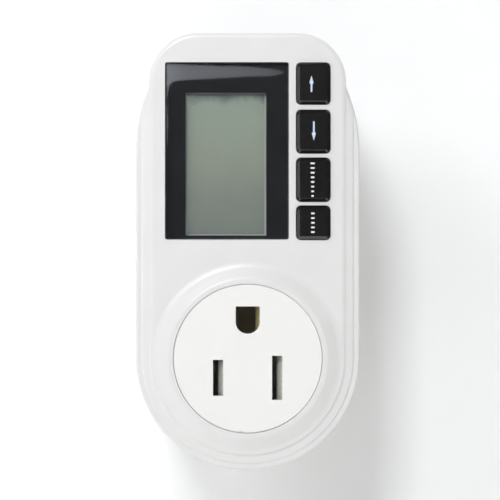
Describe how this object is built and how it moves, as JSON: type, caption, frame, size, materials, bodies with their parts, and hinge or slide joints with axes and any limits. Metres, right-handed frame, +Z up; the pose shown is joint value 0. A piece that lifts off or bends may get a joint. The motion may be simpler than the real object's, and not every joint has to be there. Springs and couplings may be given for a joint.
{
  "type": "plug-in power meter",
  "caption": "Plug-in power meter with wall-plug blades on its back, a grounded socket on its front, a display window and a column of sprung keys.",
  "frame": {"origin": "midway between the two plug blades, on the plug boss face that meets the wall plate", "axes": "+Z up with the display above the socket, -Y out of the front towards the user, +Y into the wall outlet along the blades, +X to the right of a person reading the display"},
  "size_m": [0.0482, 0.0578, 0.094],
  "materials": {
    "case_white": "white moulded ABS, fine satin",
    "insert_white": "white moulded, satin",
    "frame_white": "white moulded",
    "key_black": "black moulded, semi-gloss, with printed marks",
    "window_clear": "clear polished acrylic",
    "mask_black": "black screen print",
    "lcd_grey_green": "reflective liquid crystal, blank",
    "zebra_rubber": "striped silicone rubber",
    "board_green": "glass-epoxy board with green solder resist",
    "switch_black": "black moulded",
    "switch_actuator": "grey moulded",
    "chip_black": "black epoxy package",
    "plated_metal": "nickel plated",
    "insulator_black": "black moulded insulator",
    "retainer_grey": "grey moulded insulator",
    "dull_brass": "spring brass, dulled",
    "blade_brass": "rolled brass, tumbled",
    "contact_brass": "spring brass",
    "contact_tinned": "tin-plated spring bronze",
    "capacitor_yellow": "yellow moulded box",
    "capacitor_sleeve": "dark shrink sleeve",
    "varistor_blue": "blue epoxy coat",
    "resistor_tan": "tan lacquer",
    "shunt_alloy": "bare resistance alloy",
    "screw_steel": "zinc-plated steel",
    "label_silver": "blank silver film"
  },
  "bodies": {
    "meter": {"front_shell": "case_white", "rear_shell": "case_white", "rating_label": "label_silver", "hot_blade": "blade_brass", "neutral_blade": "blade_brass", "ground_pin": "blade_brass", "blade_clamp": "insulator_black", "socket_insert": "insert_white", "contact_retainer": "retainer_grey", "hot_contact": "contact_tinned", "neutral_contact": "contact_tinned", "ground_contact": "dull_brass", "line_strap": "contact_brass", "load_strap": "contact_brass", "neutral_strap": "contact_brass", "ground_strap": "contact_brass", "display_window": "window_clear", "window_mask": "mask_black", "lcd_glass": "lcd_grey_green", "lcd_frame": "frame_white", "zebra_strips": "zebra_rubber", "display_board": "board_green", "tactile_switches": "switch_black", "microcontroller": "chip_black", "crystal": "plated_metal", "buzzer": "insulator_black", "backup_cell": "plated_metal", "cell_holder": "insulator_black", "cell_clip": "plated_metal", "power_board": "board_green", "x2_capacitor": "capacitor_yellow", "smoothing_capacitor": "capacitor_sleeve", "varistor": "varistor_blue", "fusible_resistor": "resistor_tan", "shunt_resistor": "shunt_alloy", "bridge_rectifier": "chip_black", "meter_chip": "chip_black", "voltage_regulator": "chip_black", "board_connector": "insulator_black", "case_screws": "screw_steel", "display_board_screws": "screw_steel", "socket_screws": "screw_steel", "power_board_screws": "screw_steel", "clamp_screws": "screw_steel"},
    "up_key": {"up_key": "key_black", "up_switch_button": "switch_actuator"},
    "down_key": {"down_key": "key_black", "down_switch_button": "switch_actuator"},
    "overload_key": {"overload_key": "key_black", "overload_switch_button": "switch_actuator"},
    "cost_key": {"cost_key": "key_black", "cost_switch_button": "switch_actuator"}
  },
  "joints": [
    {"name": "up_key_press", "type": "slide", "parent": "meter", "child": "up_key", "axis": [0, 1, 0], "range_m": [0, 0.0005], "stiffness_N_per_m": 1500, "springref_m": -0.0005},
    {"name": "down_key_press", "type": "slide", "parent": "meter", "child": "down_key", "axis": [0, 1, 0], "range_m": [0, 0.0005], "stiffness_N_per_m": 1500, "springref_m": -0.0005},
    {"name": "overload_key_press", "type": "slide", "parent": "meter", "child": "overload_key", "axis": [0, 1, 0], "range_m": [0, 0.0005], "stiffness_N_per_m": 1500, "springref_m": -0.0005},
    {"name": "cost_key_press", "type": "slide", "parent": "meter", "child": "cost_key", "axis": [0, 1, 0], "range_m": [0, 0.0005], "stiffness_N_per_m": 1500, "springref_m": -0.0005}
  ]
}
